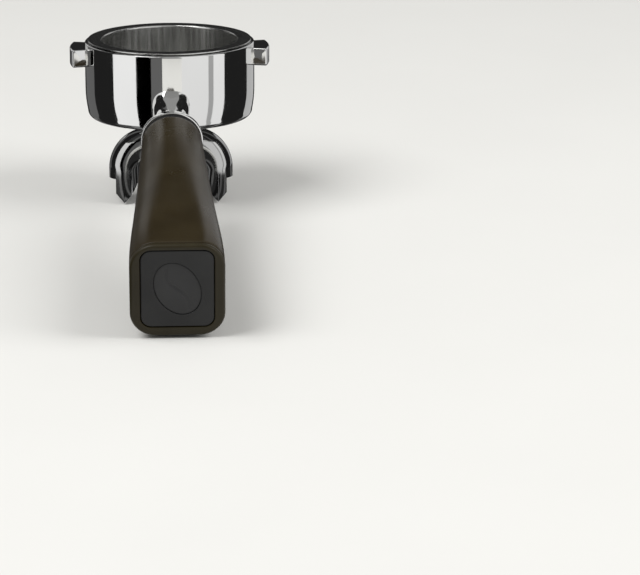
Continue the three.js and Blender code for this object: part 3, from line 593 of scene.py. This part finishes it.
def combine(target, tool, operation):
    cut = target.modifiers.new("cut", "BOOLEAN")
    cut.operation, cut.object, cut.solver = operation, tool, "EXACT"
    bpy.context.view_layer.update()
    evaluated = target.evaluated_get(bpy.context.evaluated_depsgraph_get())
    mesh = bpy.data.meshes.new_from_object(evaluated)
    target.modifiers.clear()
    target.data = mesh
    bpy.data.objects.remove(tool)


bendTop = spout["bendZ"] + spout["bendRadius"]
relief, core = spout["thread"] - spout["relief"], spout["thread"] - spout["core"]
axisGap = 0.01     # the end rings stay just off the axis, and a fan closes them
hubPart = turned(rounded([
    (axisGap, bendTop, 0),
    (spout["tube"] - spout["footIn"], bendTop, 0.4),
    (spout["tube"] + spout["waistOut"], bendTop + spout["waistRise"], 1.5),
    (spout["hub"], spout["hubTop"] - spout["hubBand"], 1.0),
    (spout["hub"], spout["hubTop"], 0.5),
    (relief, spout["hubTop"], 0.3),
    (relief, spout["hubTop"] + spout["reliefTo"], 0.2),
    (core, spout["hubTop"] + spout["coreFrom"], 0.1),
    (core, spout["nippleTop"], 0.5),
    (axisGap, spout["nippleTop"], 0),
], steps=6), 144, closed=False)
spoutPiece = loose("spoutTool", hubPart)
for side in (-1, 1):
    leg = loose("leg", branchPart(side, spout["tube"], spout["lipZ"] - 2))
    combine(leg, loose("mask", legMask(side, 0, 0)), "INTERSECT")
    combine(spoutPiece, leg, "UNION")
hollow = loose("hollow", turned(np.array([[axisGap, bendTop], [spout["bore"], bendTop],
                                           [spout["bore"], spout["nippleTop"] + 1],
                                           [axisGap, spout["nippleTop"] + 1]]), 96, closed=False))
for side in (-1, 1):
    channel = loose("channel", branchPart(side, spout["tube"] - spout["wall"], spout["lipZ"] - 3))
    mask = loose("mask", legMask(side, spout["wall"], spout["channelOver"]))
    combine(channel, mask, "INTERSECT")
    combine(hollow, channel, "UNION")
combine(spoutPiece, hollow, "DIFFERENCE")
spoutPiece.name = spoutPiece.data.name = "twinSpout"
soften = spoutPiece.modifiers.new("edges", "BEVEL")
soften.width, soften.segments, soften.limit_method = spout["edge"] * mm, 3, "ANGLE"
soften.angle_limit, soften.harden_normals = math.radians(30), False
bpy.context.view_layer.update()
evaluated = spoutPiece.evaluated_get(bpy.context.evaluated_depsgraph_get())
finished = bpy.data.meshes.new_from_object(evaluated)
spoutPiece.modifiers.clear()
spoutPiece.data = finished
finished.name = "twinSpout"
finished.polygons.foreach_set("use_smooth", np.ones(len(finished.polygons), dtype=bool))
finished.set_sharp_from_angle(angle=math.radians(34))
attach(spoutPiece, "spout")
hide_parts("double_spout")
dress(spoutPiece, spoutChromeShaded)

thread = {
    "root": 7.55, "pitch": 1.337, "low": -35.7, "high": -30.1,
    # the ridge's section, as (out from the root, up)
    "section": [[-0.25, -0.52], [0.0, -0.42], [0.78, -0.1],
                [0.78, 0.1], [0.0, 0.42], [-0.25, 0.52]],
}


def threadPart():
    # a ridge wound round the nipple: a point's height is pitch times turns, plus the ridge's own
    # section, whose crest fades in and out over the first and last turn
    turns = (thread["high"] - thread["low"]) / thread["pitch"]
    t = np.linspace(0, turns, int(turns * 72))
    crest = np.clip(np.minimum(t, turns - t) * 2, 0.02, 1)
    a = 2 * np.pi * t
    height = thread["low"] + thread["pitch"] * t
    section = np.array(thread["section"])
    r = thread["root"] + section[:, 0] * np.where(section[:, 0] > 0, crest[:, None], 1)
    z = height[:, None] + section[:, 1]
    return skin(np.stack([r * np.cos(a)[:, None], r * np.sin(a)[:, None], z], axis=-1), poles=True)


threadPiece = makePiece("nippleThread", "spout", "spout_chrome", [], *threadPart(), sharpAngle=50)
dress(threadPiece, spoutChromeShaded)

gasket = {"inner": 8.63, "outer": 12.4, "low": -36.8, "high": -35.3}
gasketPiece = makePiece("gasketRing", "gasket", "gasket", ["spout_gasket"], *turned(rounded([
    (gasket["inner"], gasket["low"], 0.25), (gasket["outer"], gasket["low"], 0.4),
    (gasket["outer"], gasket["high"], 0.4), (gasket["inner"], gasket["high"], 0.25),
], closed=True), 128))
dress(gasketPiece, gasketFibre)
print("spout made:", len(spoutPiece.data.polygons), "faces")


# ---------- ferrule and seal ----------

ferrule = {"bore": 8.3, "back": -6.2, "front": -1.6, "backRadius": 11.3, "radius": 12.9}
ferruleRing = turned(rounded([
    (ferrule["bore"], ferrule["back"], 0.3),
    (ferrule["backRadius"], ferrule["back"], 0.9),
    (ferrule["radius"] - 0.05, ferrule["front"] - 2.5, 1.3),
    (ferrule["radius"], ferrule["front"] - 1.0, 0.3),
    (ferrule["radius"], ferrule["front"], 0.55),
    (ferrule["bore"], ferrule["front"], 0.3),
], closed=True, steps=10), 160)
ferrulePiece = makePiece("chromeFerrule", "holder", "ferrule_chrome", ["ferrule"],
                         *onGrip(ferruleRing))
dress(ferrulePiece, ferruleChromeLit)

seal = {"bore": 8.3, "radius": 12.0, "back": -1.3, "front": -0.1}
sealBody = turned(rounded([
    (seal["bore"], seal["back"], 0.2), (seal["radius"], seal["back"], 0.55),
    (seal["radius"], seal["front"], 0.55), (seal["bore"], seal["front"], 0.2),
], closed=True), 128)
sealPiece = makePiece("sealRing", "holder", "seal_rubber", ["ferrule_seal"], *onGrip(sealBody))
dress(sealPiece, sealRubber)


# ---------- grip ----------

grip = {
    "length": 129.0,
    "along": [0, 0.08, 0.2, 0.38, 0.53, 0.68, 0.82, 0.94, 1.0],
    "halfWidth": [12.4, 12.9, 13.75, 14.85, 15.8, 16.8, 17.75, 18.3, 18.35],
    "extraHeight": 1.4,
    "farCorner": 10.0,
    "wall": 2.6,
    "ringDepth": 2.4,
    "gap": 0.3,
    "nearPlace": 1.4, "nearRound": 1.2, "farRound": 0.7,
    "around": 160,
}


def gripOutline(s, inset):
    # round near the bowl, a rounded square far out: the blend is the smooth step 3u^2 - 2u^3
    place = np.clip(s / grip["length"], 0, 1)
    half = float(smoothTable(np.array(place), grip["along"], grip["halfWidth"]))
    u = np.clip((place - 0.04) / 0.92, 0, 1)
    square = u * u * (3 - 2 * u)
    tall = half + grip["extraHeight"] * square
    corner = half + (grip["farCorner"] - half) * square
    ring = outline(half - inset, tall - inset, max(corner - inset, 0.5), around=grip["around"])
    return np.c_[ring, np.full(len(ring), s)]


sleeveEnd = grip["length"] - grip["ringDepth"] - grip["gap"]


def sleevePart():
    # stations (place, inset) that go up the outside and come back down the inside
    start, near, far = grip["nearPlace"], grip["nearRound"], grip["farRound"]
    outside = np.linspace(start, sleeveEnd - 1.0, 90)
    inside = np.linspace(sleeveEnd - 0.4, 0.8, 40)
    turn = np.linspace(0, np.pi / 2, 6)
    stations = [(start - near * math.sin(a), near * (1 - math.cos(a))) for a in turn[::-1]]
    stations += [(s, 0.0) for s in outside[1:]]
    stations += [(sleeveEnd - far + far * math.sin(a), far * (1 - math.cos(a))) for a in turn[1:]]
    stations += [(sleeveEnd, grip["wall"] - 0.3), (sleeveEnd - 0.1, grip["wall"])]
    stations += [(s, grip["wall"]) for s in inside] + [(0.2, grip["wall"] - 0.2)]
    return skin(np.array([gripOutline(s, inset) for s, inset in stations]), loop=True)


sleevePiece = makePiece("gripShell", "holder", "sleeve_plastic", ["grip_sleeve"],
                        *onGrip(sleevePart()))
dress(sleevePiece, brown)

cap = {
    "halfWidth": 14.0, "halfHeight": 16.3, "corner": 4.0, "lift": 0.8, "thickness": 1.7,
    "edge": 0.45,
}
bezel = {"shoulder": 1.3, "window": 0.3, "ledge": 0.3, "ledgeIn": -2.2, "tenon": 2.4}
ringBack = grip["length"] - grip["ringDepth"]


def capRing(extra, s):
    corner = max(cap["corner"] + extra, 0.6)
    ring = outline(cap["halfWidth"] + extra, cap["halfHeight"] + extra, corner, cap["lift"],
                   around=grip["around"])
    return np.c_[ring, np.full(len(ring), s)]


def bezelPart():
    # one closed band: outside edge, rounded shoulder, face, window wall, ledge and tenon
    front, shoulder = grip["length"], bezel["shoulder"]
    window, ledge = bezel["window"], ringBack + bezel["ledge"]
    tenonEnd, tenonIn = ringBack - bezel["tenon"], grip["wall"] + 0.3
    rings = [gripOutline(ringBack + up, inset)
             for up, inset in ((0, 0.55), (0.12, 0.2), (0.4, 0.02))]
    rings += [gripOutline(front - shoulder + shoulder * math.sin(a), shoulder * (1 - math.cos(a)))
              for a in np.linspace(0, np.pi / 2, 9)]
    rings += [capRing(window + out, front - down)
              for out, down in ((0.5, 0.05), (0.15, 0.2), (0, 0.5))]
    rings += [capRing(window, ringBack + 0.35), capRing(0.1, ledge)]
    rings += [capRing(bezel["ledgeIn"], ledge), capRing(bezel["ledgeIn"], tenonEnd)]
    rings += [gripOutline(tenonEnd, grip["wall"] + 0.5), gripOutline(ringBack - 2.2, tenonIn)]
    rings += [gripOutline(ringBack - 0.05, tenonIn)]
    return skin(np.array(rings), loop=True)


bezelPiece = makePiece("endBezel", "holder", "ring_plastic", ["end_ring"],
                       *onGrip(bezelPart()))
dress(bezelPiece, ringBrown)

bean = {
    "halfWidth": 8.4, "halfHeight": 11.4, "tilt": 24, "crown": 0.34, "crease": 0.75,
    "creaseDepth": 0.42, "depth": 0.5, "sway": 1.9, "gap": 0.3, "edge": 0.12,
}
capBack = ringBack + 0.6
capFront = capBack + cap["thickness"]


def beanRing(share, extra, s, around):
    # an ellipse scaled by share, turned by the tilt
    tilt = math.radians(bean["tilt"])
    angle = (np.arange(around) + 0.5) / around * 2 * np.pi
    x = (bean["halfWidth"] + extra) * share * np.cos(angle)
    y = (bean["halfHeight"] + extra) * share * np.sin(angle)
    return np.stack([x * math.cos(tilt) - y * math.sin(tilt),
                     x * math.sin(tilt) + y * math.cos(tilt) + cap["lift"], s + 0 * x], axis=-1)


def capPart():
    around, turn = grip["around"], np.linspace(0, np.pi / 2, 6)
    edge, gap = cap["edge"], bean["gap"]
    pocket = capFront - bean["depth"] - gap
    rings = [capRing(-edge * 4, capBack)]
    rings += [capRing(-0.2, capBack), capRing(0, capBack + 0.2)]
    rings += [capRing(-edge * (1 - math.cos(a)), capFront - edge + edge * math.sin(a))
              for a in turn]
    rings += [beanRing(1, gap + bean["edge"], capFront, around)]
    rings += [beanRing(1, gap, capFront - bean["edge"], around)]
    rings += [beanRing(share, gap, pocket, around) for share in (1, 0.6, 0.2)]
    return skin(np.array(rings), poles=True)


def beanPart():
    # a low dome, 1 - r^4, with an S-shaped crease: the crease's centre line is
    # x = sway sin(pi y / reach) and its section is a rounded valley
    around, shares = 160, np.linspace(0.02, 1, 60)
    low = capFront - bean["depth"]
    tilt = math.radians(bean["tilt"])
    angle = (np.arange(around) + 0.5) / around * 2 * np.pi
    x = bean["halfWidth"] * shares[:, None] * np.cos(angle)
    y = bean["halfHeight"] * shares[:, None] * np.sin(angle)
    reach = bean["halfHeight"] * 0.93
    middle = -bean["sway"] * np.sin(np.pi * y / reach)
    ends = np.clip((reach - np.abs(y)) / 2.0, 0, 1)
    valley = np.exp(-((x - middle) / bean["crease"]) ** 2) * ends
    rise = bean["crown"] * (1 - shares[:, None] ** 4) - bean["creaseDepth"] * valley
    z = low + 0.14 + np.clip(rise, -0.08, 1)
    z = np.minimum(z, capFront)
    top = np.stack([x * math.cos(tilt) - y * math.sin(tilt),
                    x * math.sin(tilt) + y * math.cos(tilt) + cap["lift"], z], axis=-1)
    under = np.array([beanRing(share, 0, low, around) for share in (1, 0.5, 0.02)])
    return skin(np.concatenate([top, under]), poles=True)


capPiece = makePiece("endPlate", "holder", "cap_plastic", ["end_cap"], *onGrip(capPart()))
dress(capPiece, capGrey)
beanPiece = makePiece("beanInlay", "holder", "emblem_plastic", ["cap_emblem"],
                      *onGrip(beanPart()), sharpAngle=60)
dress(beanPiece, emblemGrey)
print("grip, bezel and cap made")

# inner pieces stay as the frame's own solids, with their finish
for node, mat in (("grip_core", corePlastic), ("handle_bolt", boltSteel),
                  ("flat_washer", boltSteel), ("spring_washer", boltSteel)):
    dress(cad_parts[node], mat)


# ---------- studio ----------

floorLook = {"colour": (0.70, 0.695, 0.67), "size": 6.0, "below": 0.0004, "steps": 9}

# the portafilter rests on its spout tips and the heel of its grip, so the floor
# is the plane through those: it leans by the angle between them
spoutTip = np.array([0, 0.0, -70.9])
heelDown, heelShift = 19.75, np.array([0, 2.0, -0.4])
heel = gripStart + grip["length"] * gripAxis - heelDown * gripUp + heelShift
lean = math.atan2(spoutTip[2] - heel[2], spoutTip[1] - heel[1])


def floorHeight(y):
    return spoutTip[2] * mm - floorLook["below"] + np.tan(lean) * y


def makeFloor():
    half, n = floorLook["size"] / 2, floorLook["steps"]
    mesh = bpy.data.meshes.new("floor")
    u = np.linspace(-half, half, n)
    x, y = np.meshgrid(u, u)
    z = floorHeight(y)
    index = np.arange(n * n).reshape(n, n)
    quads = np.stack([index[:-1, :-1], index[:-1, 1:], index[1:, 1:], index[1:, :-1]], axis=-1)
    verts = np.stack([x, y, z], axis=-1).reshape(-1, 3)
    mesh.from_pydata(verts.tolist(), [], quads.reshape(-1, 4).tolist())
    floor = bpy.data.objects.new("floor", mesh)
    bpy.context.scene.collection.objects.link(floor)
    mat, tree, shader = newMaterial("floorPaint", floorLook["colour"], 0.0, 0.62)
    shader.inputs["Specular IOR Level"].default_value = 0.0     # matt, so it shows no cards
    tone = [c * 0.985 for c in floorLook["colour"]]
    cloud = ramp(tree, noise(tree, 9, 3), tone, floorLook["colour"])
    tree.links.new(cloud, shader.inputs["Base Color"])
    bump(tree, shader, [(noise(tree, 600, 2), 0.00003)])
    dress(floor, mat)


makeFloor()

# what the chrome shows: bright and dark cards, each (from, to, brightness), in degrees round the
# object with 0 at the handle's side and the left positive. They stand upright round the object
# and go on across the floor, so a band runs down the bowl without a break
cards = {
    "distance": 0.235, "low": -0.1, "high": 0.42,
    "innerRing": 0.09, "hub": 0.004, "lift": 0.0006, "squeeze": 0.88,
    "behind": {
        "distance": 0.2, "low": 0.0, "high": 0.15,
        "left": (137, 154, 0.55), "right": (-153, -138, 0.62),
    },
    "round": [
        (10, 24, 0.14), (24, 43.5, 0.0), (43.5, 77.5, 1.0),
        (77.5, 118, 0.016), (118, 152, 0.13), (152, 180, 0.02),
        (-49, -14, 0.88), (-56, -49, 0.42), (-73, -56, 0.92),
        (-121, -73, 0.016), (-152, -121, 0.5), (-180, -152, 0.02),
    ],
    "underSpout": [
        (-14, 8, 0.03), (8, 20, 0.15), (20, 40, 0.012), (40, 52, 0.21), (52, 76, 0.07),
        (76, 118, 0.02), (118, 136, 0.2), (136, 180, 0.02), (-34, -14, 0.01),
        (-46, -34, 0.11), (-60, -46, 0.03), (-70, -60, 0.15),
        (-104, -70, 0.02), (-120, -104, 0.15), (-180, -120, 0.03),
    ],
}


def cardArc(start, end, radius):
    a = np.radians(-90 - np.linspace(start, end, 24))
    return radius * np.cos(a), radius * np.sin(a)


def uprightCard(name, start, end, level):
    # a strip of a cylinder round the object, from the angle start to the angle end
    x, y = cardArc(start, end, cards["distance"])
    rows = [np.stack([x, y, 0 * x + z], axis=-1) for z in (cards["low"], cards["high"])]
    makeCard(name, rows, level)


def flatCard(name, start, end, near, far, squeeze, level):
    # a sector lying just above the floor, leaning as the floor does; its near edge is squeezed
    # towards the camera's side, because the bowl draws in lower down
    rows = []
    for radius, share in ((near, squeeze), (far, 1.0)):
        x, y = cardArc(start * share, end * share, radius)
        rows.append(np.stack([x, y, floorHeight(y) + cards["lift"]], axis=-1))
    makeCard(name, rows, level)


def makeCard(name, rows, level):
    mesh = bpy.data.meshes.new(name)
    i, n = np.arange(len(rows[0]) - 1), len(rows[0])
    quads = np.stack([i, i + 1, i + n + 1, i + n], axis=-1)
    mesh.from_pydata(np.concatenate(rows).tolist(), [], quads.tolist())
    panel = bpy.data.objects.new(name, mesh)
    bpy.context.scene.collection.objects.link(panel)
    mat = bpy.data.materials.new(name + "Paint")
    mat.use_nodes = True
    tree = mat.node_tree
    tree.nodes.clear()
    light = addNode(tree, "Emission", Strength=level)
    out = addNode(tree, "OutputMaterial")
    tree.links.new(light.outputs[0], out.inputs["Surface"])
    dress(panel, mat)
    panel.visible_camera = panel.visible_diffuse = panel.visible_shadow = False
    panel.visible_transmission = panel.visible_volume_scatter = False


# two cards low behind the object, whose soft bands run down the sides of the grip
behind = cards["behind"]
for side in ("left", "right"):
    start, end, level = behind[side]
    x, y = cardArc(start, end, behind["distance"])
    rows = [np.stack([x, y, 0 * x + z], axis=-1) for z in (behind["low"], behind["high"])]
    makeCard(side + "BackCard", rows, level)
for number, (start, end, level) in enumerate(cards["round"]):
    uprightCard("uprightCard%d" % number, start, end, level)
    flatCard("flatCard%d" % number, start, end,
             cards["innerRing"], cards["distance"], cards["squeeze"], level)
for number, (start, end, level) in enumerate(cards["underSpout"]):
    flatCard("hubCard%d" % number, start, end, cards["hub"], cards["innerRing"], 1.0, level)


def aimed(place, aim):
    return (Vector(aim) - Vector(place)).to_track_quat("-Z", "Y")


def softBox(name, place, aim, size, power):
    data = bpy.data.lights.new(name, "AREA")
    data.shape, data.size, data.size_y, data.energy = "RECTANGLE", size[0], size[1], power
    lamp = bpy.data.objects.new(name, data)
    lamp.location = place
    lamp.rotation_mode = "QUATERNION"
    lamp.rotation_quaternion = aimed(place, aim)
    bpy.context.scene.collection.objects.link(lamp)
    return lamp


studio = {"aim": (0, -0.06, -0.04), "sky": (0.93, 0.93, 0.92, 1), "skyLevel": 0.35}
softBox("keyLight", (-1.0, -0.7, 1.5), studio["aim"], (1.2, 1.2), 32)
softBox("fillLight", (1.3, -0.5, 1.0), studio["aim"], (0.9, 1.3), 19)

world = bpy.data.worlds.new("studio")
world.use_nodes = True
background = world.node_tree.nodes["Background"]
background.inputs["Color"].default_value = studio["sky"]
background.inputs["Strength"].default_value = studio["skyLevel"]
bpy.context.scene.world = world
bpy.context.scene.view_settings.view_transform = "Standard"

cameraData = bpy.data.cameras.new("camera")
cameraData.lens, cameraData.sensor_width = camera["lens"], 36
cameraData.clip_start, cameraData.clip_end = 0.05, 20
cameraObject = bpy.data.objects.new("camera", cameraData)
cameraObject.location = camera["place"]
cameraObject.rotation_mode = "QUATERNION"
cameraObject.rotation_quaternion = aimed(camera["place"], camera["aim"])
bpy.context.scene.collection.objects.link(cameraObject)
bpy.context.scene.camera = cameraObject
print("studio made")
